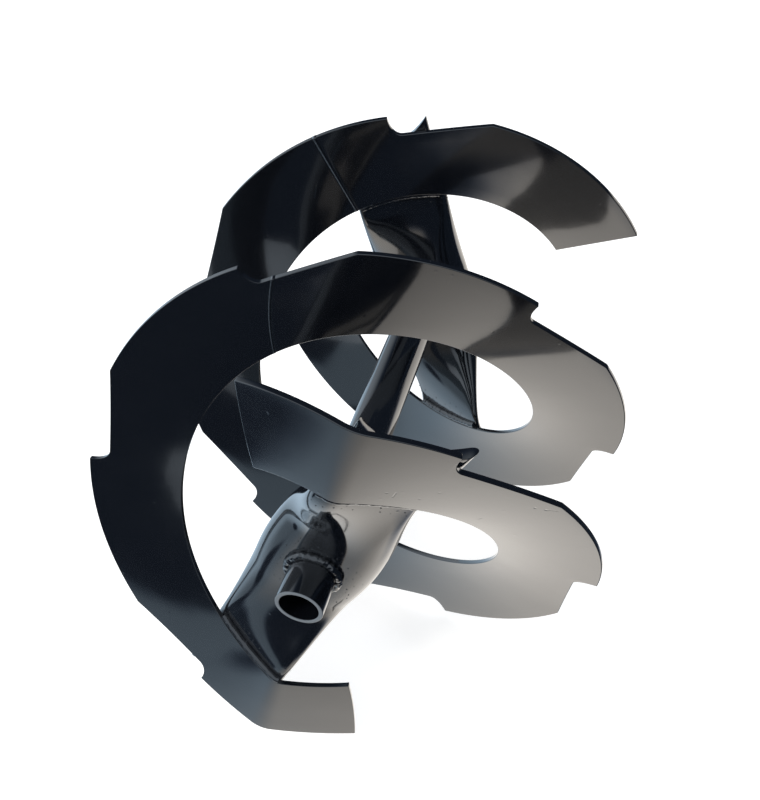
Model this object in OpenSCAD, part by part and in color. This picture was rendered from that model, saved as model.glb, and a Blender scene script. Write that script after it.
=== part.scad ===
// Half of a snow blower's gathering auger: two toothed ribbon flights wound round
// a shaft tube and carried on two flattened-tube spokes, all welded together.
// The tube's axis is +Y, its front end face lies at the origin, and up is +Z.
// Angles round the tube start at +Z and turn towards +X.

/* [Shaft tube] */
// Outside diameter of the shaft tube
tube_od = 27; // [24:0.5:30]
// Wall of the shaft tube
tube_wall = 2.5; // [2:0.1:4]
// Free length of tube in front of the front spoke and behind the rear one
stub_len = 24; // [18:1:40]
// Diameter of the shear bolt hole across the rear stub
bolt_hole_d = 8.5; // [6:0.5:10]
// Distance of the shear bolt hole from the tube's rear end
bolt_hole_inset = 11; // [9:0.5:14]

/* [Flights] */
// Radius of a flight's outer edge
flight_r = 149.5; // [130:0.5:180]
// Radius of a flight's inner edge
flight_inner_r = 93; // [80:1:105]
// Thickness of the flight plate
flight_t = 3; // [2:0.5:5]
// Advance of a flight in one turn
flight_lead = 263; // [220:1:300]
// Angle from a flight's fold to its rear end
flight_sweep = 411; // [380:1:420]
// Angle by which the outer edge leans forward of the inner one
flight_lean = 4.5; // [0:0.1:8]
// Place of the first flight's fold, round the tube
fold_turn = 20; // [0:1:45]
// Length of the front end that is bent back, as an angle round the tube
flap_sweep = 22.5; // [15:0.5:30]
// Angle by which the bent end reaches further at the inner edge
flap_skew = 4; // [0:0.5:8]
// Angle by which the front end is bent back
flap_bend = 14; // [0:0.5:25]

/* [Teeth] */
// Number of teeth cut in each flight
tooth_count = 6; // [4:1:6]
// Angle between two teeth
tooth_pitch = 62.7; // [56:0.1:64]
// Angle from the fold to the first tip
first_tip = 18; // [10:0.1:24]
// Depth of the notch behind a tip
notch_depth = 12; // [4:0.5:20]
// Angle over which the notch is rounded down from the tip
notch_sweep = 3; // [2:0.5:6]
// Angle from a tip to the corner where the straight edge ends
straight_sweep = 23.7; // [16:0.5:30]

/* [Plate seams] */
// Place of the first flight's butt seam, from its fold
seam_a = 321; // [304:1:322]
// Place of the second flight's butt seam, from its fold
seam_b = 149; // [146:1:160]
// Angle by which the second flight's seam slants back to the inner edge
seam_b_slant = 11; // [0:1:14]
// Angle by which the first flight's teeth come late behind its seam
slip_a = 6.6; // [0:0.2:10]
// The same for the second flight, whose teeth come early
slip_b = -2; // [-4:0.5:4]
// Width of the butt seam between two plates
seam_gap = 1.6; // [1:0.1:3]
// Height of the seam bead above the plates
seam_crown = 0.5; // [0.2:0.1:1.5]

/* [Spokes] */
// Length of a spoke from end to end
spoke_len = 291; // [250:1:300]
// Width of a spoke at its middle
spoke_hub_w = 66.5; // [56:0.5:80]
// Width of a spoke where its flattened ends begin
spoke_neck_w = 52.5; // [36:0.5:60]
// Width of a spoke at its ends
spoke_end_w = 54; // [46:1:66]
// Depth of the hollow that is cut into a spoke's ends
mouth_depth = 15; // [4:1:20]
// Thickness of a spoke at its middle
spoke_hub_t = 30.5; // [22:0.5:36]
// Thickness of a spoke's flattened ends, two walls pressed together
spoke_end_t = 6.4; // [5:0.2:10]
// Wall of the tube that the spokes are pressed from
spoke_wall = 3; // [2:0.1:3.5]
// Half the length of the spoke's flat middle
spoke_flat = 25; // [14:1:36]
// Distance of a spoke's middle behind the seats of its two ends
hub_set_back = 24.3; // [14:0.1:30]
// Distance by which a spoke's middle lies off the tube, along the spoke
spoke_slide = 2.6; // [0:0.1:6]
// Direction of the front spoke's first end, round the tube
front_turn = 31.4; // [26:0.2:40]
// Distance by which the front spoke's ends lie to one side of its middle
front_bow = -3.3; // [-8:0.1:8]
// Direction of the rear spoke's first end, round the tube
rear_turn = 353.2; // [345:0.2:362]
// Distance by which the rear spoke's ends lie to one side of its middle
rear_bow = 6.2; // [-8:0.1:8]

/* [Welds] */
// Reach of the weld bead round the tube
hub_bead = 4.8; // [3:0.2:7]
// Reach of the fillet weld along a flight's inner edge
seat_bead = 5; // [3:0.5:7]
// Depth of the ripples in the beads
ripple = 0.7; // [0:0.1:1]
// Gap left between a piece and what it seats on
seat_gap = 0.12; // [0.05:0.01:0.3]

/* [Hidden] */
round_fn = 96;
black_paint = [0.07, 0.08, 0.10];

// The flights are sprung to shape by hand, so each wanders off the true helix.
// How far each lies behind it, at stations from the fold on
station_step = 60;
wander_a = [0, 6.4, 6.4, 0.5, -7.8, 1, -2.5, -11.2];
wander_b = [-2, -1.2, -1.6, -11.2, -16, -9.6, 3.9, 14.1];

// Each flight: its fold's place, its wander, its seam's place at the toothed edge,
// its teeth's slip behind the seam and the seam's slant
half_turn = 180;
flight_a = [fold_turn, wander_a, seam_a, slip_a, 0];
flight_b = [fold_turn + half_turn, wander_b, seam_b, slip_b, seam_b_slant];
// The plates' cross lines turn into a slanted seam over this angle
slant_fade = 30;
plate_mid_r = (flight_r + flight_inner_r) / 2;

// The spokes' bends end this far inside the flights' inner edge
bend_clearance = 6;
seat_start = flight_inner_r - bend_clearance;

// Fineness of the flights and of the spokes
arc_step = 3;
notch_steps = 6;
straight_steps = 5;
cross_steps = 3;
bend_steps = 13;
seat_steps = 6;

function ease(t) = let (c = min(1, max(0, t))) c * c * (3 - 2 * c);
function mix(a, b, t) = a + (b - a) * t;
function polar(r, turn, y) = [r * sin(turn), y, r * cos(turn)];

// Smooth curve through the stations of a list, at place t along it
function at_end(list, i) = list[min(len(list) - 1, max(0, i))];
function curve(list, t) =
    let (i = min(len(list) - 2, max(0, floor(t))), u = t - i,
         p = [for (k = [-1:2]) at_end(list, i + k)])
    (2 * p[1] + (p[2] - p[0]) * u + (2 * p[0] - 5 * p[1] + 4 * p[2] - p[3]) * u * u
     + (3 * p[1] - p[0] - 3 * p[2] + p[3]) * u * u * u) / 2;

// Middle surface of a flight's plate: how far it lies behind the flights' start
// at an angle a from the fold and a radius. Before the fold it is flat and bent back.
function plate_rise(flight, a, r) =
    curve(flight[1], max(0, a) / station_step) + flight_lead * max(0, a) / 360
    - tan(flight_lean) * (r - plate_mid_r)
    + (a < 0 ? tan(flap_bend) * r * sin(-a) : 0);

// The plate's fall along its edge, and its thickness along Y for each unit across it
function plate_slope(flight, a, r) =
    (plate_rise(flight, a + 0.5, r) - plate_rise(flight, a - 0.5, r)) / (r * PI / 180);
function plate_secant(flight, a, r) =
    norm([plate_slope(flight, a, r), tan(flight_lean), 1]);

// Each spoke: its direction, its bow and its slide
front = [front_turn, front_bow, spoke_slide];
rear = [rear_turn, rear_bow, -spoke_slide];

// How far along the bend from the flat middle to the seats a place t is
function spoke_bend(t) = ease((abs(t) - spoke_flat) / (seat_start - spoke_flat));
function spoke_centre(spoke, t) = spoke[1] * spoke_bend(t);

// Middle surface of a spoke where it lies behind the plates. Its first end is on
// flight A and its second on flight B, t is the place along it and w across it
function seat_rise(spoke, t, w) =
    let (flight = t > 0 ? flight_a : flight_b, across = spoke_centre(spoke, t) + w,
         a = spoke[0] - fold_turn + atan(sign(t) * across / abs(t)), r = norm([t, across]))
    plate_rise(flight, a, r)
    + plate_secant(flight, a, r) * (flight_t / 2 + seat_gap + spoke_end_t / 2);
function seat_middle(spoke) =
    (seat_rise(spoke, plate_mid_r, 0) + seat_rise(spoke, -plate_mid_r, 0)) / 2;

// Everything is placed from the tube's front end: the front spoke's middle lies a
// stub behind it, and the flights start where that spoke's ends seat on them
front_hub_y = stub_len + spoke_hub_t / 2;
flight_start = front_hub_y - hub_set_back - seat_middle(front);
rear_hub_y = flight_start + seat_middle(rear) + hub_set_back;
tube_len = rear_hub_y + spoke_hub_t / 2 + stub_len;

function plate_y(flight, a, r) = flight_start + plate_rise(flight, a, r);

// Unit normal of the plate, pointing to its rear side
function plate_normal(flight, a, r) =
    let (turn = flight[0] + a, s = plate_slope(flight, a, r), l = tan(flight_lean),
         n = [l * sin(turn) - s * cos(turn), 1, l * cos(turn) + s * sin(turn)])
    n / norm(n);
function plate_point(flight, a, r, off) =
    polar(r, flight[0] + a, plate_y(flight, a, r)) + off * plate_normal(flight, a, r);

// Outline of the toothed edge: radius at an angle a from the fold
function tip_angle(flight, k) =
    let (tip = first_tip + k * tooth_pitch) tip > flight[2] ? tip + flight[3] : tip;
function straight_edge(a, a1, r1, a2, r2) =
    r1 * r2 * sin(a2 - a1) / (r2 * sin(a2 - a) + r1 * sin(a - a1));
function notch_edge(x) = flight_r - notch_depth * sqrt(1 - pow(1 - x, 2));
function tooth_edge(d) =
    d < notch_sweep ? notch_edge(d / notch_sweep)
    : straight_edge(d, notch_sweep, flight_r - notch_depth, straight_sweep, flight_r);
function edge_r(flight, a) =
    let (cut = [for (k = [0:tooth_count - 1]) let (d = a - tip_angle(flight, k))
                if (d > 0 && d < straight_sweep) tooth_edge(d)])
    len(cut) > 0 ? cut[0] : flight_r;

// Angles at which a flight's outline is cut, in order, between two ends
function spread(from, to) =
    let (n = max(1, ceil((to - from) / arc_step)))
    [for (i = [0:n - 1]) mix(from, to, i / n)];
function tooth_angles(flight, k) =
    let (tip = tip_angle(flight, k), corner = tip + straight_sweep,
         next = k < tooth_count - 1 ? tip_angle(flight, k + 1) : flight_sweep)
    [for (i = [0:notch_steps]) tip + notch_sweep * (1 - cos(90 * i / notch_steps)),
     for (i = [1:straight_steps - 1])
         mix(tip + notch_sweep, corner, i / straight_steps),
     each spread(corner, next)];
function outline_angles(flight) =
    [each spread(-flap_sweep, 0), each spread(0, tip_angle(flight, 0)),
     for (k = [0:tooth_count - 1]) each tooth_angles(flight, k), flight_sweep];
function angles_between(flight, from, to) =
    let (margin = 0.05)
    [from, for (a = outline_angles(flight)) if (a > from + margin && a < to - margin) a, to];

// Cap of a flat section of n points as a strip across it. It starts at the points
// from and to, which lie at one side of the section and may be one and the same
function strip_cap(n, from, to) =
    [for (k = [0:floor((n - to + from) / 2) - 1])
        let (p = [for (j = [from - k - 1, from - k, to + k, to + k + 1]) (j + n) % n])
        each [if (p[1] != p[2]) [p[0], p[1], p[2]],
              if (p[0] != p[3]) [p[0], p[2], p[3]]]];

// Solid skinned over a row of closed sections with the same number of points
module loft(sections, cap) {
    n = len(sections[0]);
    last = len(sections) - 1;
    polyhedron(
        points = [for (s = sections) each s],
        faces = [
            each cap,
            for (f = cap) [for (j = [len(f) - 1:-1:0]) last * n + f[j]],
            for (i = [0:last - 1], j = [0:n - 1])
                let (k = (j + 1) % n)
                each [[i * n + j, (i + 1) * n + j, (i + 1) * n + k],
                      [i * n + j, (i + 1) * n + k, i * n + k]]
        ],
        convexity = 10);
}

// The same, for sections that run round and meet
module closed_loft(ring) {
    n = len(ring[0]);
    m = len(ring);
    polyhedron(
        points = [for (s = ring) each s],
        faces = [for (i = [0:m - 1], j = [0:n - 1])
                 let (k = (j + 1) % n, h = (i + 1) % m)
                 each [[i * n + j, h * n + j, h * n + k],
                       [i * n + j, h * n + k, i * n + k]]],
        convexity = 10);
}

// Shaft tube
module along_tube(y) {
    translate([0, y, 0]) rotate([-90, 0, 0]) children();
}

module shaft_tube() {
    color(black_paint)
    difference() {
        along_tube(0) cylinder(r = tube_od / 2, h = tube_len, $fn = round_fn);
        along_tube(-1) cylinder(r = tube_od / 2 - tube_wall, h = tube_len + 2, $fn = round_fn);
        translate([-tube_od, tube_len - bolt_hole_inset, 0])
            rotate([0, 90, 0]) cylinder(d = bolt_hole_d, h = 2 * tube_od, $fn = 48);
    }
}

// Plates of the flights
// Angle by which a cross line that meets the toothed edge at an angle a lies further
// on at the inner edge: it leans with the bent end's cut and with a slanted seam
function lag(flight, a) =
    a < 0 ? flap_skew * a / flap_sweep
    : -flight[4] * max(0, 1 - abs(a - flight[2]) / slant_fade);
function cross_point(flight, a, x, off) =
    plate_point(flight, a + lag(flight, a) * (1 - x), mix(flight_inner_r, edge_r(flight, a), x), off);
function plate_section(flight, a) =
    let (half = flight_t / 2)
    [for (i = [0:cross_steps]) cross_point(flight, a, i / cross_steps, -half),
     for (i = [cross_steps:-1:0]) cross_point(flight, a, i / cross_steps, half)];

module plate(flight, from, to) {
    color(black_paint)
    loft([for (a = angles_between(flight, from, to)) plate_section(flight, a)],
         strip_cap(2 * (cross_steps + 1), cross_steps, cross_steps + 1));
}

// Half widths of a seam and of the bead in it, as angles at the plates' middle
function angle_at_middle(length) = length / plate_mid_r * half_turn / PI;
seam_half = angle_at_middle(seam_gap / 2);
bead_half = angle_at_middle(seam_gap / 2 - seat_gap);

module front_plate(flight) {
    plate(flight, -flap_sweep, flight[2] - seam_half);
}

module rear_plate(flight) {
    plate(flight, flight[2] + seam_half, flight_sweep);
}

// Butt weld that fills a seam and stands a little proud of both faces
module seam_weld(flight) {
    crown = flight_t / 2 + seam_crown;
    half = flight_t / 2;
    profile = [[-bead_half, -half], [-bead_half / 3, -crown], [bead_half / 3, -crown],
               [bead_half, -half], [bead_half, half], [bead_half / 3, crown],
               [-bead_half / 3, crown], [-bead_half, half]];
    color(black_paint)
    loft([for (i = [0:cross_steps])
          [for (p = profile) cross_point(flight, flight[2] + p[0], i / cross_steps, p[1])]],
         strip_cap(len(profile), 1, 2));
}

// Spokes
function spoke_y(spoke, hub_y, t, w) =
    let (k = spoke_bend(t), seat_t = (t < 0 ? -1 : 1) * max(abs(t), seat_start))
    k == 0 ? hub_y : mix(hub_y, flight_start + seat_rise(spoke, seat_t, w), k);
// Half thickness along Y, which grows where the end follows the plate's slope
function spoke_half_y(spoke, t, half) =
    let (flight = t > 0 ? flight_a : flight_b, a = spoke[0] - fold_turn)
    half * mix(1, plate_secant(flight, a, plate_mid_r), spoke_bend(t));
function spoke_point(spoke, hub_y, t, w, off) =
    let (turn = spoke[0], across = spoke_centre(spoke, t) + w)
    [t * sin(turn) + across * cos(turn),
     spoke_y(spoke, hub_y, t, w) + off,
     t * cos(turn) - across * sin(turn)];

// Half width and half thickness of a spoke. It narrows from its middle to its neck,
// where the seats start, and widens again towards an end at the distance reach
function spoke_half_w(t, reach) =
    let (neck = mix(spoke_hub_w, spoke_neck_w, ease(abs(t) / seat_start)),
         x = max(0, abs(t) - seat_start) / (reach - seat_start))
    (neck + (spoke_end_w - spoke_neck_w) * x) / 2;
function spoke_half_t(t) = mix(spoke_hub_t, spoke_end_t, spoke_bend(t)) / 2;

// Flat oval of half width a and half thickness b, round sides and cut flats
function oval(a, b, round_steps, flat_steps) =
    let (flat = a - b)
    [for (i = [0:round_steps]) let (u = -90 + 180 * i / round_steps)
         [flat + b * cos(u), b * sin(u)],
     for (i = [1:flat_steps - 1]) [mix(flat, -flat, i / flat_steps), b],
     for (i = [0:round_steps]) let (u = 90 + 180 * i / round_steps)
         [-flat + b * cos(u), b * sin(u)],
     for (i = [1:flat_steps - 1]) [mix(-flat, flat, i / flat_steps), -b]];

function oval_cap(round_steps, flat_steps) =
    strip_cap(2 * (round_steps + flat_steps), round_steps / 2, round_steps / 2);

// The sections bow more and more towards the end, which is cut hollow
function spoke_section(spoke, hub_y, t, reach, inset, round_steps, flat_steps) =
    let (a = spoke_half_w(t, reach) - inset, b = spoke_half_t(t) - inset,
         bow = mouth_depth * max(0, abs(t) - seat_start) / (reach - seat_start))
    [for (p = oval(a, b, round_steps, flat_steps))
         let (place = t - sign(t) * bow * (1 - pow(p[0] / a, 2)))
         spoke_point(spoke, hub_y, place, p[0], spoke_half_y(spoke, t, p[1]))];

// Places along a spoke: its flat middle, the bends and the seats
middle_places = [for (i = [-1:1]) i * spoke_flat / 2];
bend_places = [for (i = [0:bend_steps - 1]) mix(spoke_flat, seat_start, i / bend_steps)];
function seat_places(reach) = [for (i = [0:seat_steps]) mix(seat_start, reach, i / seat_steps)];
function backwards(v) = [for (i = [len(v) - 1:-1:0]) -v[i]];

module spoke(spoke, hub_y) {
    first = spoke_len / 2 + spoke[2];
    second = spoke_len / 2 - spoke[2];
    round_steps = 8;
    flat_steps = 4;
    hollow_round = 4;
    hollow_flat = 2;
    places = [each backwards(seat_places(second)), each backwards(bend_places),
              each middle_places, each bend_places, each seat_places(first)];
    hollow_end = mix(spoke_flat, seat_start, 0.8);
    hollow_steps = 8;
    hollow = [for (i = [0:hollow_steps]) mix(spoke_flat, hollow_end, i / hollow_steps)];
    color(black_paint)
    difference() {
        loft([for (t = places)
              spoke_section(spoke, hub_y, t, t > 0 ? first : second, 0, round_steps, flat_steps)],
             oval_cap(round_steps, flat_steps));
        loft([for (t = [each backwards(hollow), each middle_places, each hollow])
              spoke_section(spoke, hub_y, t, first, spoke_wall, hollow_round, hollow_flat)],
             oval_cap(hollow_round, hollow_flat));
        along_tube(hub_y - spoke_hub_t)
            cylinder(r = tube_od / 2 + seat_gap, h = 2 * spoke_hub_t, $fn = round_fn);
    }
}

// Face of a spoke near the tube, at a radius and an angle round the tube: side is -1
// in front and 1 behind
function hub_face(spoke, hub_y, r, u, side) =
    let (t = r * cos(u - spoke[0]), w = r * sin(u - spoke[0]) - spoke_centre(spoke, t),
         b = spoke_half_t(t), over = max(0, abs(w) - spoke_half_w(t, spoke_len) + b))
    spoke_y(spoke, hub_y, t, w) + side * spoke_half_y(spoke, t, sqrt(b * b - over * over));

// Bead round the tube on one face of a spoke, laid in short runs
module hub_weld(spoke, hub_y, side) {
    stations = 48;
    runs = 7;
    r0 = tube_od / 2 + seat_gap;
    profile = [[0, 0], [0, 1], [0.35, 0.9], [0.7, 0.6], [0.95, 0.25], [1, 0]];
    ring = [for (i = [0:stations - 1])
            let (u = -side * 360 * i / stations,
                 leg = hub_bead + ripple * (sin(runs * u) + 0.7 * sin(3 * u + 40) - 1))
            [for (p = profile) let (r = r0 + leg * p[0])
             [r * sin(u), hub_face(spoke, hub_y, r, u, side) + side * (seat_gap + leg * p[1]),
              r * cos(u)]]];
    color(black_paint) closed_loft(ring);
}

// Fillet in the corner between a spoke's front face and a flight's inner edge.
// end is 1 on flight A and -1 on flight B
module seat_weld(spoke, hub_y, end) {
    steps = 18;
    runs = 6;
    profile = [[0, 0], [0, 1], [0.3, 0.8], [0.7, 0.45], [1, 0]];
    width = spoke_neck_w - spoke_end_t;
    r0 = flight_inner_r - seat_gap;
    lift = flight_t * plate_secant(flight_a, spoke[0] - fold_turn, flight_inner_r);
    color(black_paint)
    loft([for (i = [0:steps])
          let (w = end * mix(-width, width, i / steps) / 2,
               across = spoke_centre(spoke, seat_start) + w,
               leg = seat_bead + ripple * (sin(runs * 360 * i / steps) - 1))
          [for (p = profile)
           let (r = r0 - leg * p[0], t = end * sqrt(r * r - across * across))
           spoke_point(spoke, hub_y, t, w,
                       -spoke_half_y(spoke, t, spoke_half_t(t)) - seat_gap - lift * p[1])]],
         [[for (j = [0:len(profile) - 1]) j]]);
}

shaft_tube();
spoke(front, front_hub_y);  // front_spoke
spoke(rear, rear_hub_y);  // rear_spoke
front_plate(flight_a);  // flight_a_front_plate
rear_plate(flight_a);  // flight_a_rear_plate
seam_weld(flight_a);  // flight_a_seam_weld
front_plate(flight_b);  // flight_b_front_plate
rear_plate(flight_b);  // flight_b_rear_plate
seam_weld(flight_b);  // flight_b_seam_weld
hub_weld(front, front_hub_y, -1);  // front_hub_front_weld
hub_weld(front, front_hub_y, 1);  // front_hub_rear_weld
hub_weld(rear, rear_hub_y, -1);  // rear_hub_front_weld
hub_weld(rear, rear_hub_y, 1);  // rear_hub_rear_weld
seat_weld(front, front_hub_y, 1);  // front_seat_weld_a
seat_weld(front, front_hub_y, -1);  // front_seat_weld_b
seat_weld(rear, rear_hub_y, 1);  // rear_seat_weld_a
seat_weld(rear, rear_hub_y, -1);  // rear_seat_weld_b
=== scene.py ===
import math

import bmesh
import bpy
from mathutils import Matrix, Vector


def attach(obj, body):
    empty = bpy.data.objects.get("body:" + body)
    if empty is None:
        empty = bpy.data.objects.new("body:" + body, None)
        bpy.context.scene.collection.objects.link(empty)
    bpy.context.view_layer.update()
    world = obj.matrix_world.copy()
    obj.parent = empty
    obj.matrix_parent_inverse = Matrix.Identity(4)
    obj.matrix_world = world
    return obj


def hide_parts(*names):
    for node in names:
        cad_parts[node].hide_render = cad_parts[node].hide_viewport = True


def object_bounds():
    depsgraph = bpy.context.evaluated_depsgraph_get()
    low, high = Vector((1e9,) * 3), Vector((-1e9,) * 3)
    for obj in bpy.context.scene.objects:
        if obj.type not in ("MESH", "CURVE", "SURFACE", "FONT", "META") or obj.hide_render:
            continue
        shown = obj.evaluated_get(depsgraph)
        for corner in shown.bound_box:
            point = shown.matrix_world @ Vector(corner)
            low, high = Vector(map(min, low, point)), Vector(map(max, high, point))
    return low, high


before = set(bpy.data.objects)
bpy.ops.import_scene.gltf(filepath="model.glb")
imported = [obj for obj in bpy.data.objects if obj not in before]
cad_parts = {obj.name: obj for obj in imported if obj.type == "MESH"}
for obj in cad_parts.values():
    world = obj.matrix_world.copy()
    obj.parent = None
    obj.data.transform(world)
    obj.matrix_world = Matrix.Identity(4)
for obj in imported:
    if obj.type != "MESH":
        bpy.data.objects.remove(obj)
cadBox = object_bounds()
mm = 0.001
print("frame loaded")


# Sizes of the auger in millimetres and degrees. Angles round the tube start at +Z and
# turn towards +X. The tube runs along +Y from its front end face at the origin
flightSizes = {
    "outerR": 149.5,
    "innerR": 93.0,
    "thick": 3.0,
    "lead": 263.0,
    "sweep": 411.0,
    "lean": 4.5,
    "flapSweep": 22.5,
    "flapSkew": 4.0,
    "flapBend": 14.0,
    "foldSoft": 2.5,
    "stationStep": 60.0,
    "edgeRound": 0.5,
    "arcStep": 1.0,
    "columns": 6,
}
toothSizes = {
    "count": 6,
    "pitch": 62.7,
    "firstTip": 18.0,
    "depth": 12.0,
    "notchSweep": 3.0,
    "straightSweep": 23.7,
}
# Each flight is sprung to shape by hand and wanders off the true helix, given at stations
# from the fold on. Behind its seam the teeth slip a little, and flight B's seam slants
# back to the inner edge
flights = {
    "a": {
        "turn": 20.0,
        "wander": (0, 6.4, 6.4, 0.5, -7.8, 1, -2.5, -11.2),
        "seam": 321.0,
        "slip": 6.6,
        "slant": 0.0,
    },
    "b": {
        "turn": 200.0,
        "wander": (-2, -1.2, -1.6, -11.2, -16, -9.6, 3.9, 14.1),
        "seam": 149.0,
        "slip": -2.0,
        "slant": 11.0,
    },
}
seamSizes = {"gap": 1.6, "lap": 0.3, "crown": -0.03, "ripple": 0.02, "slantFade": 30.0, "steps": 60}
spokeSizes = {
    "length": 291.0,
    "hubWidth": 66.5,
    "neckWidth": 52.5,
    "endWidth": 54.0,
    "mouthDepth": 15.0,
    "hubThick": 30.5,
    "endThick": 6.4,
    "flat": 25.0,
    "bendClearance": 6.0,
    "setBack": 24.3,
    "seatGap": 0.12,
    "edgeRound": 0.8,
    "roundSteps": 14,
    "flatSteps": 14,
}
# slide is how far the front spoke's middle lies off the tube towards flight A
spokes = {
    "front": {"turn": 31.4, "bow": -3.3, "slide": 2.6},
    "rear": {"turn": 353.2, "bow": 6.2, "slide": -2.6},
}
tubeSizes = {
    "outerR": 13.5,
    "wall": 2.5,
    "stub": 24.0,
    "boltR": 4.25,
    "boltInset": 11.0,
    "edgeRound": 0.6,
    "sides": 128,
}
midR = (flightSizes["outerR"] + flightSizes["innerR"]) / 2
seatStart = flightSizes["innerR"] - spokeSizes["bendClearance"]


def sinDeg(angle):
    return math.sin(math.radians(angle))


def cosDeg(angle):
    return math.cos(math.radians(angle))


def tanDeg(angle):
    return math.tan(math.radians(angle))


def mix(a, b, t):
    return a + (b - a) * t


def ease(t):
    t = min(1.0, max(0.0, t))
    return t * t * (3 - 2 * t)


# Smooth curve through a row of values, at place t along it
def curveThrough(values, t):
    last = len(values) - 1
    i = min(last - 1, max(0, int(math.floor(t))))
    u = t - i
    p = [values[min(last, max(0, i + k))] for k in (-1, 0, 1, 2)]
    return (
        2 * p[1]
        + (p[2] - p[0]) * u
        + (2 * p[0] - 5 * p[1] + 4 * p[2] - p[3]) * u * u
        + (3 * p[1] - p[0] - 3 * p[2] + p[3]) * u * u * u
    ) / 2


# How far the toothed edge leans over the inner one, in each millimetre across the plate
def plateLean():
    return tanDeg(flightSizes["lean"])


# The part of an angle past zero, which sets in softly because the fold has a radius
def softly(a):
    soft = flightSizes["foldSoft"]
    return (a + soft) ** 2 / (4 * soft) if abs(a) < soft else max(0.0, a)


# How far a plate's middle surface lies behind the flights' start, at an angle from the
# fold and a radius. Before the fold the plate is flat and bent back
def plateRise(flight, a, r):
    rise = curveThrough(flight["wander"], softly(a) / flightSizes["stationStep"])
    rise += flightSizes["lead"] * softly(a) / 360 - plateLean() * (r - midR)
    return rise + tanDeg(flightSizes["flapBend"]) * r * sinDeg(softly(-a))


def plateSlope(flight, a, r):
    return (plateRise(flight, a + 0.5, r) - plateRise(flight, a - 0.5, r)) / math.radians(r)


def plateSecant(flight, a, r):
    return math.hypot(1.0, plateSlope(flight, a, r), plateLean())


# How far along the bend from the flat middle to the seats a place on a spoke is
def spokeBend(t):
    return ease((abs(t) - spokeSizes["flat"]) / (seatStart - spokeSizes["flat"]))


def spokeCentre(spoke, t):
    return spoke["bow"] * spokeBend(t)


# Middle surface of a spoke's end, which lies behind the plate. t runs along the spoke,
# from flight B at one end to flight A at the other, and w runs across it
def seatRise(spoke, t, w):
    flight = flights["a"] if t > 0 else flights["b"]
    side = 1 if t > 0 else -1
    across = spokeCentre(spoke, t) + w
    a = spoke["turn"] - flights["a"]["turn"] + math.degrees(math.atan(side * across / abs(t)))
    r = math.hypot(t, across)
    depth = flightSizes["thick"] / 2 + spokeSizes["seatGap"] + spokeSizes["endThick"] / 2
    return plateRise(flight, a, r) + plateSecant(flight, a, r) * depth


def seatMiddle(spoke):
    return (seatRise(spoke, midR, 0) + seatRise(spoke, -midR, 0)) / 2


frontHubY = tubeSizes["stub"] + spokeSizes["hubThick"] / 2
flightStart = frontHubY - spokeSizes["setBack"] - seatMiddle(spokes["front"])
rearHubY = flightStart + seatMiddle(spokes["rear"]) + spokeSizes["setBack"]
tubeLength = rearHubY + spokeSizes["hubThick"] / 2 + tubeSizes["stub"]
spokes["front"]["hubY"] = frontHubY
spokes["rear"]["hubY"] = rearHubY


def polar(r, turn, y):
    return Vector((r * sinDeg(turn), y, r * cosDeg(turn)))


def plateNormal(flight, a, r):
    turn = flight["turn"] + a
    slope = plateSlope(flight, a, r)
    lean = plateLean()
    n = Vector((lean * sinDeg(turn) - slope * cosDeg(turn), 1.0, lean * cosDeg(turn) + slope * sinDeg(turn)))
    return n.normalized()


def platePoint(flight, a, r, off):
    middle = polar(r, flight["turn"] + a, flightStart + plateRise(flight, a, r))
    return (middle + off * plateNormal(flight, a, r)) * mm


# Angle by which a cross line lies further on at the inner edge: it leans with the bent
# end's cut and with a slanted seam
def lag(flight, a):
    if a < 0:
        return flightSizes["flapSkew"] * a / flightSizes["flapSweep"]
    return -flight["slant"] * max(0.0, 1 - abs(a - flight["seam"]) / seamSizes["slantFade"])


# Point of a plate on the cross line of angle a, from the inner edge at 0 to the toothed one at 1
def crossPoint(flight, a, x, off):
    return platePoint(flight, a + lag(flight, a) * (1 - x), mix(flightSizes["innerR"], edgeRadius(flight, a), x), off)


def tipAngle(flight, k):
    tip = toothSizes["firstTip"] + k * toothSizes["pitch"]
    return tip + flight["slip"] if tip > flight["seam"] else tip


# Radius of the toothed edge at an angle from the fold
def edgeRadius(flight, a):
    outer = flightSizes["outerR"]
    for k in range(toothSizes["count"]):
        d = a - tipAngle(flight, k)
        if 0 < d < toothSizes["notchSweep"]:
            x = d / toothSizes["notchSweep"]
            return outer - toothSizes["depth"] * math.sqrt(1 - (1 - x) ** 2)
        if 0 < d < toothSizes["straightSweep"]:
            a1, r1 = toothSizes["notchSweep"], outer - toothSizes["depth"]
            a2 = toothSizes["straightSweep"]
            return r1 * outer * sinDeg(a2 - a1) / (outer * sinDeg(a2 - d) + r1 * sinDeg(d - a1))
    return outer


def spread(start, end, step):
    count = max(1, math.ceil((end - start) / step))
    return [mix(start, end, i / count) for i in range(count)]


def outlineAngles(flight):
    step = flightSizes["arcStep"]
    angles = spread(-flightSizes["flapSweep"], 0, step) + spread(0, tipAngle(flight, 0), step)
    for k in range(toothSizes["count"]):
        tip = tipAngle(flight, k)
        corner = tip + toothSizes["straightSweep"]
        following = tipAngle(flight, k + 1) if k < toothSizes["count"] - 1 else flightSizes["sweep"]
        angles += [tip + toothSizes["notchSweep"] * (1 - cosDeg(90 * i / 8)) for i in range(8)]
        angles += spread(tip + toothSizes["notchSweep"], corner, step) + spread(corner, following, step)
    return angles + [flightSizes["sweep"]]


def anglesBetween(flight, start, end):
    inside = [a for a in outlineAngles(flight) if start + 0.05 < a < end - 0.05]
    return [start] + inside + [end]


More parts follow.
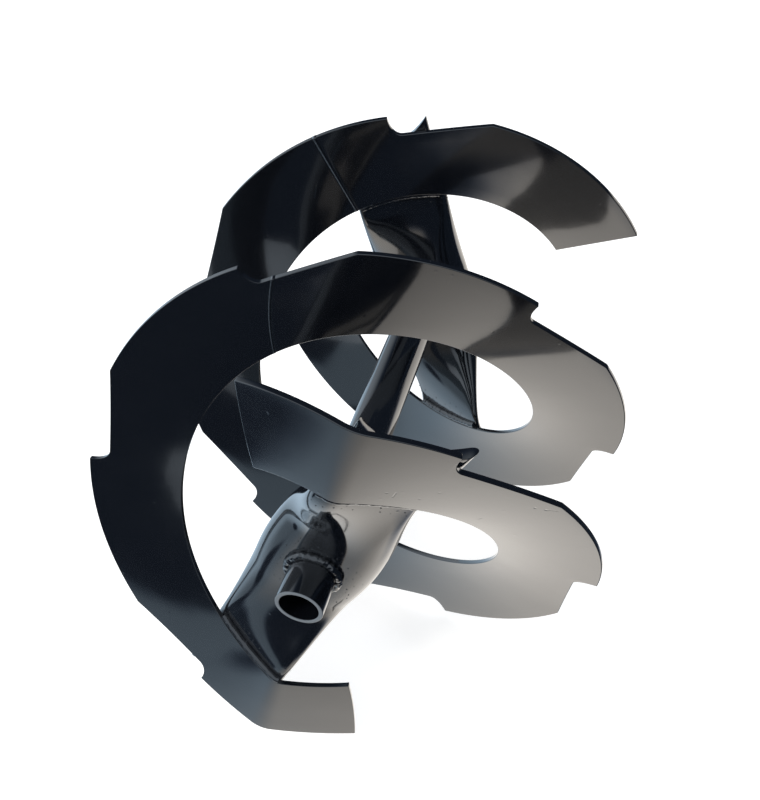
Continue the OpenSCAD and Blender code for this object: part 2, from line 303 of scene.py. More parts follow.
# Cap of a flat section of count points as a strip across it, which starts at the points
# first and second at one side of the section
def stripCap(count, first, second):
    faces = []
    for k in range((count - second + first) // 2):
        corners = [(j + count) % count for j in (first - k - 1, first - k, second + k, second + k + 1)]
        faces.append(tuple(dict.fromkeys(corners)))
    return faces


# Skins a row of sections that have the same number of points
def loftMesh(name, sections, cap=None, closedRow=False):
    count = len(sections[0])
    rows = len(sections)
    faces = []
    for i in range(rows if closedRow else rows - 1):
        h = (i + 1) % rows
        for j in range(count):
            k = (j + 1) % count
            faces.append((i * count + j, h * count + j, h * count + k, i * count + k))
    if not closedRow:
        cap = cap or [tuple(range(count))]
        faces += cap
        faces += [tuple((rows - 1) * count + j for j in reversed(face)) for face in cap]
    mesh = bpy.data.meshes.new(name)
    mesh.from_pydata([tuple(p) for s in sections for p in s], [], faces)
    mesh.validate()
    mesh.update()
    return mesh


def newPiece(name, mesh, material, smooth=True):
    piece = bpy.data.objects.new(name, mesh)
    bpy.context.scene.collection.objects.link(piece)
    piece.data.materials.append(material)
    for polygon in mesh.polygons:
        polygon.use_smooth = smooth
    return piece


# Turns a piece and its modifiers into one plain mesh
def bakeModifiers(piece):
    graph = bpy.context.evaluated_depsgraph_get()
    mesh = bpy.data.meshes.new_from_object(piece.evaluated_get(graph))
    piece.modifiers.clear()
    piece.data = mesh
    return piece


def roundEdges(piece, width, evenFaces=True):
    bevel = piece.modifiers.new("edge round", "BEVEL")
    bevel.width = width * mm
    bevel.segments = 2
    bevel.limit_method = "ANGLE"
    bevel.angle_limit = math.radians(40)
    if evenFaces:
        weighted = piece.modifiers.new("flat faces stay flat", "WEIGHTED_NORMAL")
        weighted.weight = 80
    return bakeModifiers(piece)


def standFor(piece, node):
    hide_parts(node)
    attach(piece, "root")
    return piece


# Materials

def linear(hexColour):
    channels = [int(hexColour[i : i + 2], 16) / 255 for i in (0, 2, 4)]
    return [c / 12.92 if c <= 0.04045 else ((c + 0.055) / 1.055) ** 2.4 for c in channels] + [1.0]


# Adds a node with its settings, and links or sets its inputs
def addNode(tree, kind, settings=None, **inputs):
    node = tree.nodes.new(kind)
    for key, value in (settings or {}).items():
        setattr(node, key, value)
    for key, value in inputs.items():
        socket = node.inputs[int(key[1:])] if key[0] == "i" and key[1:].isdigit() else node.inputs[key.replace("_", " ")]
        if isinstance(value, bpy.types.NodeSocket):
            tree.links.new(value, socket)
        else:
            socket.default_value = value
    return node


def rampNode(tree, value, span, levels=(0.0, 1.0)):
    return addNode(tree, "ShaderNodeMapRange", {"interpolation_type": "SMOOTHSTEP"}, Value=value, From_Min=span[0],
                   From_Max=span[1], To_Min=levels[0], To_Max=levels[1]).outputs["Result"]


def mathNode(tree, operation, a, b):
    return addNode(tree, "ShaderNodeMath", {"operation": operation}, i0=a, i1=b).outputs[0]


def tintNode(tree, factor, low, high):
    return addNode(tree, "ShaderNodeMix", {"data_type": "RGBA"}, i0=factor, i6=low, i7=high).outputs[2]


# Height of a scratch in the paint: a soft groove round the line from start to end
def scratchNode(tree, place, start, end, radius):
    way = Vector(end) - Vector(start)
    axis = tuple(way.normalized())
    begin = tuple(Vector(start) * mm)
    offset = addNode(tree, "ShaderNodeVectorMath", {"operation": "SUBTRACT"}, i0=place, i1=begin).outputs[0]
    along = addNode(tree, "ShaderNodeVectorMath", {"operation": "DOT_PRODUCT"}, i0=offset, i1=axis).outputs["Value"]
    along = mathNode(tree, "MINIMUM", mathNode(tree, "MAXIMUM", along, 0.0), way.length * mm)
    foot = addNode(tree, "ShaderNodeVectorMath", {"operation": "SCALE"}, i0=axis, Scale=along).outputs[0]
    away = addNode(tree, "ShaderNodeVectorMath", {"operation": "DISTANCE"}, i0=offset, i1=foot).outputs["Value"]
    return rampNode(tree, away, (0.0, radius * mm), (1.0, 0.0))


paintLooks = {
    "colour": "0c0f15",
    "rubbed": "12151b",
    "ior": 1.75,
    "coatIor": 1.65,
    "roughness": (0.08, 0.16),
    "orangePeel": 3.5,
    "plateWave": 55.0,
    "nib": 1.1,
    "sawnEnd": "7d8791",
    "sawnRoughness": 0.5,
    "scratchDepth": 0.12,
}
# Nicks and scratches on the plates: start and end in millimetres, and half the width
scratches = (
    ((57.7, 13.1, 85.7), (59.7, 12.6, 89.5), 0.6),
    ((55.5, 10.9, 90.6), (56.2, 11.2, 90.3), 0.5),
    ((68.2, 18.3, 80.7), (68.6, 18.4, 80.6), 0.6),
    ((77.9, 19.2, 85.8), (79.0, 19.0, 86.2), 0.6),
    ((90.5, 36.5, 49.8), (92.2, 36.0, 51.5), 0.8),
    ((119.2, 33.0, 68.4), (119.5, 33.0, 68.0), 0.9),
    ((124.1, 34.1, 66.8), (124.6, 34.2, 66.5), 1.0),
    ((124.1, 34.1, 66.8), (129.6, 34.6, 66.6), 0.5),
    ((-51.6, 231.5, 109.4), (-53.8, 230.1, 101.5), 0.6),
)


# Gloss black enamel sprayed on steel: a dark, slightly blue body under a hard clear
# gloss, with fine orange peel, long waves where the plate was sprung, and dust nibs. On
# sawn ends, given by their place along the tube, the paint is thin, grey and dull
def glossBlackEnamel(name, peelDepth, waveDepth, nibDepth, marks=(), sawnEnds=()):
    material = bpy.data.materials.new(name)
    material.use_nodes = True
    tree = material.node_tree
    tree.nodes.clear()
    place = addNode(tree, "ShaderNodeTexCoord").outputs["Object"]
    cloud = addNode(tree, "ShaderNodeTexNoise", Vector=place, Scale=1 / (18 * mm), Detail=4.0, Roughness=0.6)
    body = addNode(tree, "ShaderNodeMix", {"data_type": "RGBA"}, i0=cloud.outputs["Fac"],
                   i6=linear(paintLooks["colour"]), i7=linear(paintLooks["rubbed"]))
    haze = addNode(tree, "ShaderNodeTexNoise", Vector=place, Scale=1 / (35 * mm), Detail=5.0, Roughness=0.65)
    low, high = paintLooks["roughness"]
    rough = addNode(tree, "ShaderNodeMapRange", Value=haze.outputs["Fac"], From_Min=0.35, From_Max=0.7,
                    To_Min=low, To_Max=high)
    wave = addNode(tree, "ShaderNodeTexNoise", Vector=place, Scale=1 / (paintLooks["plateWave"] * mm), Detail=1.5)
    peel = addNode(tree, "ShaderNodeTexNoise", Vector=place, Scale=1 / (paintLooks["orangePeel"] * mm), Detail=2.0)
    speck = addNode(tree, "ShaderNodeTexVoronoi", {"feature": "F1"}, Vector=place, Scale=1 / (14 * mm),
                    Randomness=1.0)
    nib = addNode(tree, "ShaderNodeMapRange", Value=speck.outputs["Distance"], From_Min=0.0,
                  From_Max=paintLooks["nib"] / 14, To_Min=1.0, To_Max=0.0)
    waveBump = addNode(tree, "ShaderNodeBump", Strength=1.0, Distance=waveDepth * mm, Height=wave.outputs["Fac"])
    peelBump = addNode(tree, "ShaderNodeBump", Strength=1.0, Distance=peelDepth * mm,
                       Height=peel.outputs["Fac"], Normal=waveBump.outputs["Normal"])
    nibBump = addNode(tree, "ShaderNodeBump", Strength=1.0, Distance=nibDepth * mm,
                      Height=nib.outputs["Result"], Normal=peelBump.outputs["Normal"])
    normal = nibBump.outputs["Normal"]
    colour, roughness, coat = body.outputs[2], rough.outputs["Result"], 1.0
    if marks:
        depth = 0.0
        for start, end, radius in marks:
            depth = mathNode(tree, "MAXIMUM", depth, scratchNode(tree, place, start, end, radius))
        normal = addNode(tree, "ShaderNodeBump", {"invert": True}, Strength=1.0,
                         Distance=paintLooks["scratchDepth"] * mm, Height=depth, Normal=normal).outputs["Normal"]
    if sawnEnds:
        y = addNode(tree, "ShaderNodeSeparateXYZ", Vector=place).outputs[1]
        bare = 0.0
        for end in sawnEnds:
            gap = mathNode(tree, "ABSOLUTE", mathNode(tree, "SUBTRACT", y, end * mm), 0.0)
            bare = mathNode(tree, "MAXIMUM", bare, rampNode(tree, gap, (0.1 * mm, 0.4 * mm), (1.0, 0.0)))
        colour = tintNode(tree, bare, colour, linear(paintLooks["sawnEnd"]))
        roughness = addNode(tree, "ShaderNodeMix", {"data_type": "FLOAT"}, i0=bare, i2=roughness,
                            i3=paintLooks["sawnRoughness"]).outputs[0]
        coat = mathNode(tree, "SUBTRACT", 1.0, bare)
    skin = addNode(tree, "ShaderNodeBsdfPrincipled", Base_Color=colour, Roughness=roughness,
                   IOR=paintLooks["ior"], Normal=normal, Coat_Weight=coat, Coat_IOR=paintLooks["coatIor"],
                   Coat_Roughness=0.07, Coat_Normal=normal)
    output = addNode(tree, "ShaderNodeOutputMaterial")
    tree.links.new(skin.outputs["BSDF"], output.inputs["Surface"])
    return material


platePaint = glossBlackEnamel("black enamel on plate", peelDepth=0.004, waveDepth=0.35, nibDepth=0.05,
                              marks=scratches)
tubePaint = glossBlackEnamel("black enamel on tube", peelDepth=0.004, waveDepth=0.2, nibDepth=0.05,
                             sawnEnds=(0.0, tubeLength))
spokePaint = glossBlackEnamel("black enamel on pressed tube", peelDepth=0.006, waveDepth=0.25, nibDepth=0.05)
weldPaint = glossBlackEnamel("black enamel on weld", peelDepth=0.03, waveDepth=0.2, nibDepth=0.10)
print("materials made")


# Plates of the flights

def plateSection(flight, a):
    columns = flightSizes["columns"]
    half = flightSizes["thick"] / 2
    front = [crossPoint(flight, a, i / columns, -half) for i in range(columns + 1)]
    rear = [crossPoint(flight, a, i / columns, half) for i in range(columns, -1, -1)]
    return front + rear


def makePlate(name, flight, start, end):
    sections = [plateSection(flight, a) for a in anglesBetween(flight, start, end)]
    columns = flightSizes["columns"]
    cap = stripCap(2 * (columns + 1), columns, columns + 1)
    plate = newPiece(name, loftMesh(name, sections, cap), platePaint)
    return roundEdges(plate, flightSizes["edgeRound"])


seamHalf = math.degrees(seamSizes["gap"] / 2 / midR)
for letter, flight in flights.items():
    front = makePlate("plate_front_" + letter, flight, -flightSizes["flapSweep"], flight["seam"] - seamHalf)
    standFor(front, f"flight_{letter}_front_plate")
    rear = makePlate("plate_rear_" + letter, flight, flight["seam"] + seamHalf, flightSizes["sweep"])
    standFor(rear, f"flight_{letter}_rear_plate")
print("plates made")


# Spokes: one tube, flattened at both ends and pressed along the plates. Its inside is
# closed and can't be seen, so it is left solid here

def spokeY(spoke, t, w):
    k = spokeBend(t)
    if k == 0:
        return spoke["hubY"]
    seatT = math.copysign(max(abs(t), seatStart), t)
    return mix(spoke["hubY"], flightStart + seatRise(spoke, seatT, w), k)


def spokeHalfY(spoke, t, half):
    flight = flights["a"] if t > 0 else flights["b"]
    a = spoke["turn"] - flights["a"]["turn"]
    return half * mix(1.0, plateSecant(flight, a, midR), spokeBend(t))


def spokePoint(spoke, t, w, off):
    turn = spoke["turn"]
    across = spokeCentre(spoke, t) + w
    x = t * sinDeg(turn) + across * cosDeg(turn)
    z = t * cosDeg(turn) - across * sinDeg(turn)
    return Vector((x, spokeY(spoke, t, w) + off, z)) * mm


def oval(a, b, roundSteps, flatSteps):
    flat = a - b
    points = []
    for side in (1, -1):
        for i in range(roundSteps + 1):
            u = -90 + 180 * i / roundSteps
            points.append((side * (flat + b * cosDeg(u)), side * b * sinDeg(u)))
        points += [(side * mix(flat, -flat, i / flatSteps), side * b) for i in range(1, flatSteps)]
    return points


# Half width and half thickness of a spoke, which narrows to its neck and widens again
# towards an end at the distance reach
def spokeHalfW(t, reach):
    neck = mix(spokeSizes["hubWidth"], spokeSizes["neckWidth"], ease(abs(t) / seatStart))
    x = max(0.0, abs(t) - seatStart) / (reach - seatStart)
    return (neck + (spokeSizes["endWidth"] - spokeSizes["neckWidth"]) * x) / 2


def spokeHalfT(t):
    return mix(spokeSizes["hubThick"], spokeSizes["endThick"], spokeBend(t)) / 2


# The sections bow more and more towards the end, which is cut hollow
def spokeSection(spoke, t, reach):
    a = spokeHalfW(t, reach)
    b = spokeHalfT(t)
    bow = spokeSizes["mouthDepth"] * max(0.0, abs(t) - seatStart) / (reach - seatStart)
    points = []
    for w, off in oval(a, b, spokeSizes["roundSteps"], spokeSizes["flatSteps"]):
        place = t - math.copysign(bow * (1 - (w / a) ** 2), t)
        points.append(spokePoint(spoke, place, w, spokeHalfY(spoke, t, off)))
    return points


def spokeSolid(name, spoke):
    middle = spokeSizes["flat"]
    first, second = (spokeSizes["length"] / 2 + spoke["slide"] * side for side in (1, -1))
    places = []
    for reach, side in ((second, -1), (first, 1)):
        half = spread(0, middle, 4) + spread(middle, seatStart, 2) + spread(seatStart, reach, 2) + [reach]
        places += [(t * side, reach) for t in (half if side > 0 else reversed(half[1:]))]
    sections = [spokeSection(spoke, t, reach) for t, reach in places]
    half = spokeSizes["roundSteps"] // 2
    cap = stripCap(2 * (spokeSizes["roundSteps"] + spokeSizes["flatSteps"]), half, half)
    return loftMesh(name, sections, cap)


# Cuts a closed mesh out of a piece
def cutAway(piece, mesh):
    cutter = bpy.data.objects.new("cutter", mesh)
    bpy.context.scene.collection.objects.link(cutter)
    cut = piece.modifiers.new("cut", "BOOLEAN")
    cut.object = cutter
    cut.solver = "EXACT"
    bakeModifiers(piece)
    bpy.data.objects.remove(cutter)


def rodMesh(name, r, length, place, axis):
    mesh = bpy.data.meshes.new(name)
    shape = bmesh.new()
    turn = Matrix.Rotation(math.radians(90), 4, "X" if axis == "Y" else "Y")
    bmesh.ops.create_cone(shape, cap_ends=True, segments=64, radius1=r * mm, radius2=r * mm, depth=length * mm,
                          matrix=Matrix.Translation((0, place * mm, 0)) @ turn)
    shape.to_mesh(mesh)
    shape.free()
    return mesh


def makeSpoke(name, spoke):
    piece = newPiece(name, spokeSolid(name, spoke), spokePaint)
    roundEdges(piece, spokeSizes["edgeRound"], evenFaces=False)
    cutAway(piece, rodMesh("tube hole", tubeSizes["outerR"] + spokeSizes["seatGap"], 2 * spokeSizes["hubThick"],
                           spoke["hubY"], "Y"))
    piece.data.set_sharp_from_angle(angle=math.radians(40))
    return piece


for letter, spoke in spokes.items():
    standFor(makeSpoke("pressed_spoke_" + letter, spoke), letter + "_spoke")
print("spokes made")


# Shaft tube, turned round its axis, with its bolt hole cut through

def makeTube():
    outer, inner = tubeSizes["outerR"], tubeSizes["outerR"] - tubeSizes["wall"]
    c = tubeSizes["edgeRound"]
    rows = spread(c, tubeLength - c, 12)[1:]
    corner = [(c * (1 - cosDeg(90 * i / 5)), c * (1 - sinDeg(90 * i / 5))) for i in range(6)]
    profile = [(inner + x, y) for x, y in corner] + [(outer - x, y) for x, y in reversed(corner)]
    profile += [(outer, y) for y in rows]
    profile += [(outer - x, tubeLength - y) for x, y in corner]
    profile += [(inner + x, tubeLength - y) for x, y in reversed(corner)]
    profile += [(inner, y) for y in reversed(rows)]
    sides = tubeSizes["sides"]
    sections = [[polar(r, -360 * i / sides, y) * mm for r, y in profile] for i in range(sides)]
    tube = newPiece("tube", loftMesh("tube", sections, closedRow=True), tubePaint)
    cutAway(tube, rodMesh("bolt hole", tubeSizes["boltR"], 4 * outer, tubeLength - tubeSizes["boltInset"], "X"))
    sharp = tube.modifiers.new("faces stay even", "WEIGHTED_NORMAL")
    sharp.weight = 80
    return bakeModifiers(tube)


standFor(makeTube(), "shaft_tube")
print("tube made")


# Welds. A bead follows the corner where two pieces meet, laid in short runs that overlap,
# with drops of spatter on the spoke beside it

weldSizes = {
    "hubSink": 1.2,
    "hubRadius": 2.3,
    "seatSink": 0.9,
    "seatRadius": 2.2,
    "runLength": 4.0,
    "runDepth": 0.03,
    "lumpSize": 2.6,
    "hubLump": 2.4,
    "seatLump": 0.9,
    "spatterReach": 13.0,
    "spatterGap": 3.2,
    "dropSmall": 0.15,
    "dropLarge": 0.45,
    "hubPoints": 96,
    "seatPoints": 40,
}


def treeInput(tree, name, kind):
    return tree.interface.new_socket(name, in_out="INPUT", socket_type="NodeSocket" + kind).identifier


# Tree that lays a bead along a path and throws spatter on the surface beside it
def weldTree():
    tree = bpy.data.node_groups.new("weld bead", "GeometryNodeTree")
    kinds = {"Path": "Geometry", "Bead Radius": "Float", "Run Length": "Float", "Run Depth": "Float",
             "Lump Size": "Float", "Lump Depth": "Float", "Spatter Surface": "Object", "Spatter Reach": "Float",
             "Spatter Gap": "Float", "Drop Small": "Float", "Drop Large": "Float", "Seed": "Int", "Paint": "Material"}
    names = {name: treeInput(tree, name, kind) for name, kind in kinds.items()}
    tree.interface.new_socket("Weld", in_out="OUTPUT", socket_type="NodeSocketGeometry")
    given = addNode(tree, "NodeGroupInput").outputs
    place = addNode(tree, "GeometryNodeInputPosition").outputs[0]

    def math(operation, a, b):
        return addNode(tree, "ShaderNodeMath", {"operation": operation}, i0=a, i1=b).outputs[0]

    lumps = addNode(tree, "ShaderNodeTexNoise", {"noise_dimensions": "4D"}, Vector=place, W=given["Seed"],
                    Scale=math("DIVIDE", 1.0, given["Lump Size"]), Detail=2.0).outputs[0]
    lump = math("SUBTRACT", lumps, 0.5)
    curve = addNode(tree, "GeometryNodeMeshToCurve", Mesh=given["Path"]).outputs[0]
    fine = addNode(tree, "GeometryNodeResampleCurve", {"mode": "LENGTH"}, Curve=curve, Length=0.4 * mm).outputs[0]
    along = addNode(tree, "GeometryNodeSplineParameter").outputs["Length"]
    runs = math("ADD", math("DIVIDE", along, given["Run Length"]), lump)
    step = math("POWER", math("FRACT", runs, 0.0), 2.0)
    scale = math("MULTIPLY", given["Bead Radius"], math("SUBTRACT", 1.0, math("MULTIPLY", step, given["Run Depth"])))
    ring = addNode(tree, "GeometryNodeCurvePrimitiveCircle", Resolution=20, Radius=1.0).outputs[0]
    bead = addNode(tree, "GeometryNodeCurveToMesh", Curve=fine, Profile_Curve=ring, Scale=scale, Fill_Caps=True)
    outwards = addNode(tree, "GeometryNodeInputNormal").outputs[0]
    swell = addNode(tree, "ShaderNodeVectorMath", {"operation": "SCALE"}, i0=outwards,
                    Scale=math("MULTIPLY", lump, given["Lump Depth"])).outputs[0]
    laid = addNode(tree, "GeometryNodeSetPosition", Geometry=bead.outputs[0], Offset=swell).outputs[0]

    surface = addNode(tree, "GeometryNodeObjectInfo", Object=given["Spatter Surface"]).outputs["Geometry"]
    reach = addNode(tree, "GeometryNodeProximity", {"target_element": "POINTS"}, Target=given["Path"])
    near = addNode(tree, "FunctionNodeCompare", {"operation": "LESS_THAN"}, A=reach.outputs["Distance"],
                   B=given["Spatter Reach"]).outputs[0]
    drops = addNode(tree, "GeometryNodeDistributePointsOnFaces", {"distribute_method": "POISSON"}, Mesh=surface,
                    Selection=near, Density_Max=60000.0, Seed=given["Seed"])
    tree.links.new(given["Spatter Gap"], drops.inputs["Distance Min"])
    size = addNode(tree, "FunctionNodeRandomValue", {"data_type": "FLOAT"}, Min=given["Drop Small"],
                   Max=given["Drop Large"], Seed=given["Seed"]).outputs["Value"]
    drop = addNode(tree, "GeometryNodeMeshIcoSphere", Radius=1.0, Subdivisions=2).outputs[0]
    thrown = addNode(tree, "GeometryNodeInstanceOnPoints", Points=drops.outputs["Points"], Instance=drop, Scale=size)
    both = addNode(tree, "GeometryNodeJoinGeometry")
    tree.links.new(thrown.outputs[0], both.inputs[0])
    tree.links.new(laid, both.inputs[0])
    real = addNode(tree, "GeometryNodeRealizeInstances", Geometry=both.outputs[0]).outputs[0]
    smooth = addNode(tree, "GeometryNodeSetShadeSmooth", Geometry=real).outputs[0]
    painted = addNode(tree, "GeometryNodeSetMaterial", Geometry=smooth, Material=given["Paint"]).outputs[0]
    tree.links.new(painted, addNode(tree, "NodeGroupOutput").inputs[0])
    return tree, names


beadTree, beadInputs = weldTree()


def makeWeld(name, points, closed, kind, surface, seed):
    count = len(points)
    edges = [(i, (i + 1) % count) for i in range(count if closed else count - 1)]
    mesh = bpy.data.meshes.new(name)
    mesh.from_pydata([tuple(p) for p in points], edges, [])
    piece = bpy.data.objects.new(name, mesh)
    bpy.context.scene.collection.objects.link(piece)
    bead = piece.modifiers.new("weld bead", "NODES")
    bead.node_group = beadTree
    values = {
        "Bead Radius": weldSizes[kind + "Radius"] * mm,
        "Run Length": weldSizes["runLength"] * mm,
        "Run Depth": weldSizes["runDepth"],
        "Lump Size": weldSizes["lumpSize"] * mm,
        "Lump Depth": weldSizes[kind + "Lump"] * mm,
        "Spatter Surface": surface,
        "Spatter Reach": weldSizes["spatterReach"] * mm,
        "Spatter Gap": weldSizes["spatterGap"] * mm,
        "Drop Small": weldSizes["dropSmall"] * mm,
        "Drop Large": weldSizes["dropLarge"] * mm,
        "Seed": seed,
        "Paint": weldPaint,
    }
    for key, value in values.items():
        bead[beadInputs[key]] = value
    return bakeModifiers(piece)


# Face of a spoke near the tube, at a radius and an angle round the tube: side is -1 in
# front and 1 behind
def hubFace(spoke, r, u, side):
    t = r * cosDeg(u - spoke["turn"])
    w = r * sinDeg(u - spoke["turn"]) - spokeCentre(spoke, t)
    b = spokeHalfT(t)
    over = max(0.0, abs(w) - spokeHalfW(t, spokeSizes["length"]) + b)
    return spokeY(spoke, t, w) + side * spokeHalfY(spoke, t, math.sqrt(b * b - over * over))


def hubPath(spoke, side):
    r = tubeSizes["outerR"] + weldSizes["hubSink"]
    turns = [360 * i / weldSizes["hubPoints"] for i in range(weldSizes["hubPoints"])]
    return [polar(r, u, hubFace(spoke, r, u, side) + side * weldSizes["hubSink"]) * mm for u in turns]


# end is 1 on flight A and -1 on flight B
def seatPath(spoke, end):
    width = spokeSizes["neckWidth"] - spokeSizes["endThick"]
    r = flightSizes["innerR"] - weldSizes["seatSink"]
    points = []
    for i in range(weldSizes["seatPoints"] + 1):
        w = end * mix(-width, width, i / weldSizes["seatPoints"]) / 2
        across = spokeCentre(spoke, seatStart) + w
        t = end * math.sqrt(r * r - across * across)
        points.append(spokePoint(spoke, t, w, -spokeHalfY(spoke, t, spokeHalfT(t)) - weldSizes["seatSink"]))
    return points


seed = 1
for letter, spoke in spokes.items():
    surface = bpy.data.objects["pressed_spoke_" + letter]
    for side, face in ((-1, "front"), (1, "rear")):
        weld = makeWeld(f"{letter}_hub_bead_{face}", hubPath(spoke, side), True, "hub", surface, seed)
        standFor(weld, f"{letter}_hub_{face}_weld")
        seed += 1
    for end, flightName in ((1, "a"), (-1, "b")):
        weld = makeWeld(f"{letter}_seat_bead_{flightName}", seatPath(spoke, end), False, "seat", surface, seed)
        standFor(weld, f"{letter}_seat_weld_{flightName}")
        seed += 1
print("welds made")


# Butt weld in a seam, ground almost flush, with a faint wave along it
def makeSeamBead(name, flight):
    half = flightSizes["thick"] / 2
    wide = math.degrees((seamSizes["gap"] / 2 + seamSizes["lap"]) / midR)
    steps = seamSizes["steps"]
    sections = []
    for i in range(steps + 1):
        crown = half + seamSizes["crown"] + seamSizes["ripple"] * math.sin(i * 1.7) * math.sin(i * 0.37)
        rim = [(-wide, half - seamSizes["lap"]), (-wide, crown), (wide, crown), (wide, half - seamSizes["lap"])]
        profile = [(a, off) for a, off in rim] + [(a, -off) for a, off in reversed(rim)]
        sections.append([crossPoint(flight, flight["seam"] + a, i / steps, off) for a, off in profile])
    return newPiece(name, loftMesh(name, sections, stripCap(8, 1, 2)), weldPaint)


for letter, flight in flights.items():
    standFor(makeSeamBead("seam_bead_" + letter, flight), f"flight_{letter}_seam_weld")
print("seams made")

# Camera of the photograph: it looks down on the auger from the front and to the right
cameraSetup = {
    "place": (0.17383, -0.26333, 0.42363),
    "azimuth": 22.57,
    "elevation": 42.73,
    "roll": -9.11,
    "lens": 46.56,
}


def makeCamera():
    az, el = cameraSetup["azimuth"], cameraSetup["elevation"]
    back = Vector((sinDeg(az) * cosDeg(el), -cosDeg(az) * cosDeg(el), sinDeg(el)))
    level = (-back).cross(Vector((0, 0, 1))).normalized()
    rise = level.cross(-back)
    roll = cameraSetup["roll"]
    right = level * cosDeg(roll) + rise * sinDeg(roll)
    up = rise * cosDeg(roll) - level * sinDeg(roll)
    data = bpy.data.cameras.new("camera")
    data.sensor_fit = "HORIZONTAL"
    data.sensor_width = 36.0
    data.lens = cameraSetup["lens"]
    data.clip_start = 0.01
    camera = bpy.data.objects.new("camera", data)
    turn = Matrix((right, up, back)).transposed().to_4x4()
    camera.matrix_world = Matrix.Translation(cameraSetup["place"]) @ turn
    bpy.context.scene.collection.objects.link(camera)
    bpy.context.scene.camera = camera


makeCamera()


# Studio: the auger stands on a pale floor. What its gloss paint mirrors is a lit table well
# below it, which ends in front and to the right, in a dim room with a pale ceiling
studio = {
    "floorZ": cadBox[0][2] - 0.0005,
    "floorSize": 6.0,
    "tableZ": -0.5,
    "tableWhite": "fff9f1",
    "tableCool": "c4dcf0",
    "coolSpan": (-0.5, 0.05),
    "frontPlace": (0.0, -0.53),
    "frontTurn": 21.0,
    "frontBlur": 0.14,
    "rightSpan": (0.11, 0.21),
    "wallSpan": (-0.20, -0.04),
    "darkPatchPlace": (-0.66, -0.31, -0.5),
    "darkPatchSpan": (0.09, 0.18),
    "depthSpan": (-0.40, -0.02),
    "depthLevels": (0.55, 1.08),
    "sideSpan": (-0.6, 0.0),
    "sideLevels": (0.82, 1.0),
    "dark": "8ba4c8",
    "darkLevel": 0.08,
    "ceiling": "dbe8f5",
    "ceilingLevel": 0.55,
    "ceilingTowards": (0.1, -0.75, 0.65),
    "windowLevel": 0.8,
    "windowTowards": (-0.97, -0.05, 0.25),
}


def makeSheet(name, z):
    size = studio["floorSize"]
    mesh = bpy.data.meshes.new(name)
    mesh.from_pydata([(-size, -size, z), (size, -size, z), (size, size, z), (-size, size, z)], [], [(0, 1, 2, 3)])
    sheet = bpy.data.objects.new(name, mesh)
    bpy.context.scene.collection.objects.link(sheet)
    material = bpy.data.materials.new(name)
    material.use_nodes = True
    material.node_tree.nodes.clear()
    mesh.materials.append(material)
    return sheet, material.node_tree


def makeFloor():
    floor, tree = makeSheet("pale floor", studio["floorZ"])
    floor.visible_glossy = False
    paths = addNode(tree, "ShaderNodeLightPath")
    lit = addNode(tree, "ShaderNodeBsdfDiffuse", Color=linear("e8e8e6"))
    seen = addNode(tree, "ShaderNodeEmission", Color=linear("ffffff"), Strength=0.8)
    shown = addNode(tree, "ShaderNodeAddShader", i0=lit.outputs[0], i1=seen.outputs[0])
    camera = addNode(tree, "ShaderNodeMixShader", i0=paths.outputs["Is Camera Ray"], i1=lit.outputs[0],
                     i2=shown.outputs[0])
    output = addNode(tree, "ShaderNodeOutputMaterial")
    tree.links.new(camera.outputs[0], output.inputs["Surface"])


# The table that only the paint's mirror images see. A pale wall stands to its left and
# behind it, and the table's glow fades to dark in a round patch on the left
def makeMirroredTable():
    table, tree = makeSheet("mirrored table", studio["tableZ"])
    table.visible_camera = False
    table.visible_diffuse = False
    table.visible_shadow = False
    place = addNode(tree, "ShaderNodeTexCoord").outputs["Object"]
    parts = addNode(tree, "ShaderNodeSeparateXYZ", Vector=place).outputs
    turn, blur = studio["frontTurn"], studio["frontBlur"]
    inwards = (-sinDeg(turn), cosDeg(turn), 0)
    start = Vector(studio["frontPlace"]).dot(Vector(inwards[:2]))
    depth = addNode(tree, "ShaderNodeVectorMath", {"operation": "DOT_PRODUCT"}, i0=place, i1=inwards).outputs["Value"]
    onTable = mathNode(tree, "MULTIPLY", rampNode(tree, depth, (start - blur / 2, start + blur / 2)),
                       rampNode(tree, parts[0], studio["rightSpan"], (1.0, 0.0)))
    wall = rampNode(tree, mathNode(tree, "SUBTRACT", parts[0], parts[1]), studio["wallSpan"], (1.0, 0.0))
    # Round patch on the left where the table's glow fades to dark
    darkPatch = addNode(tree, "ShaderNodeVectorMath", {"operation": "DISTANCE"}, i0=place, i1=studio["darkPatchPlace"])
    onTable = mathNode(tree, "MULTIPLY", mathNode(tree, "MAXIMUM", onTable, wall),
                       rampNode(tree, darkPatch.outputs["Value"], studio["darkPatchSpan"]))
    level = mathNode(tree, "MULTIPLY", rampNode(tree, parts[1], studio["depthSpan"], studio["depthLevels"]),
                     rampNode(tree, parts[0], studio["sideSpan"], studio["sideLevels"]))
    white = tintNode(tree, rampNode(tree, parts[0], studio["coolSpan"]), linear(studio["tableCool"]),
                     linear(studio["tableWhite"]))
    colour = tintNode(tree, onTable, linear(studio["dark"]), white)
    strength = addNode(tree, "ShaderNodeMix", {"data_type": "FLOAT"}, i0=onTable, i2=studio["darkLevel"], i3=level)
    glow = addNode(tree, "ShaderNodeEmission", Color=colour, Strength=strength.outputs[0])
    output = addNode(tree, "ShaderNodeOutputMaterial")
    tree.links.new(glow.outputs[0], output.inputs["Surface"])


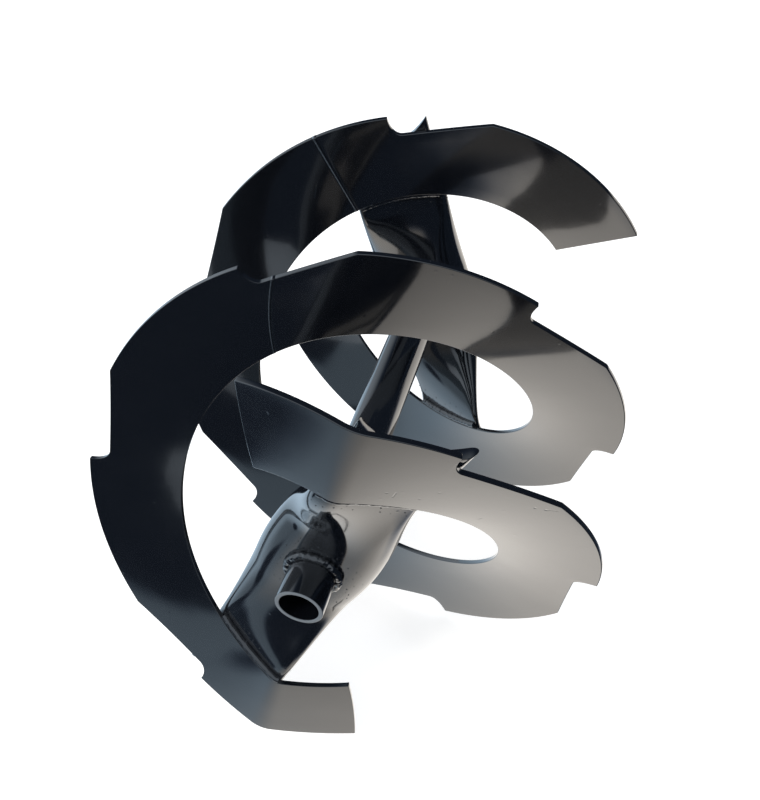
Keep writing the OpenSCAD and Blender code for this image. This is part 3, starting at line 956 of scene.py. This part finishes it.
def makeRoom():
    world = bpy.data.worlds.new("studio")
    bpy.context.scene.world = world
    world.use_nodes = True
    tree = world.node_tree
    tree.nodes.clear()
    direction = addNode(tree, "ShaderNodeTexCoord").outputs["Generated"]

    def glow(towards, span, level):
        aim = Vector(towards).normalized()
        facing = addNode(tree, "ShaderNodeVectorMath", {"operation": "DOT_PRODUCT"}, i0=direction, i1=tuple(aim))
        return rampNode(tree, facing.outputs["Value"], span, (0.0, level))

    ceiling = glow(studio["ceilingTowards"], (0.35, 0.85), studio["ceilingLevel"])
    window = glow(studio["windowTowards"], (0.45, 0.85), studio["windowLevel"])
    level = mathNode(tree, "ADD", mathNode(tree, "MAXIMUM", ceiling, window), studio["darkLevel"])
    paths = addNode(tree, "ShaderNodeLightPath")
    even = addNode(tree, "ShaderNodeBackground", Color=linear("dfe6ee"), Strength=0.35)
    white = addNode(tree, "ShaderNodeBackground", Color=linear("ffffff"), Strength=1.0)
    colour = tintNode(tree, rampNode(tree, level, (0.1, 0.4)), linear(studio["dark"]), linear(studio["ceiling"]))
    mirrored = addNode(tree, "ShaderNodeBackground", Color=colour, Strength=level)
    glossy = addNode(tree, "ShaderNodeMixShader", i0=paths.outputs["Is Glossy Ray"], i1=even.outputs[0],
                     i2=mirrored.outputs[0])
    shown = addNode(tree, "ShaderNodeMixShader", i0=paths.outputs["Is Camera Ray"], i1=glossy.outputs[0],
                    i2=white.outputs[0])
    output = addNode(tree, "ShaderNodeOutputWorld")
    tree.links.new(shown.outputs[0], output.inputs["Surface"])


def makeSoftbox(name, azimuth, elevation, distance, width, height, watts, colour):
    data = bpy.data.lights.new(name, "AREA")
    data.shape = "RECTANGLE"
    data.size = width
    data.size_y = height
    data.energy = watts
    data.color = linear(colour)[:3]
    lamp = bpy.data.objects.new(name, data)
    towards = Vector((sinDeg(azimuth) * cosDeg(elevation), -cosDeg(azimuth) * cosDeg(elevation), sinDeg(elevation)))
    lamp.location = towards * distance + Vector((0, 0.15, 0))
    lamp.rotation_euler = towards.to_track_quat("Z", "Y").to_euler()
    lamp.visible_glossy = False
    bpy.context.scene.collection.objects.link(lamp)


makeFloor()
makeMirroredTable()
makeRoom()
makeSoftbox("key softbox", -38, 38, 1.6, 0.5, 0.7, 14, "fff8f0")
makeSoftbox("rear softbox", 150, 55, 1.8, 0.9, 0.9, 10, "f2f6ff")
bpy.context.scene.view_settings.view_transform = "Standard"
print("studio made")
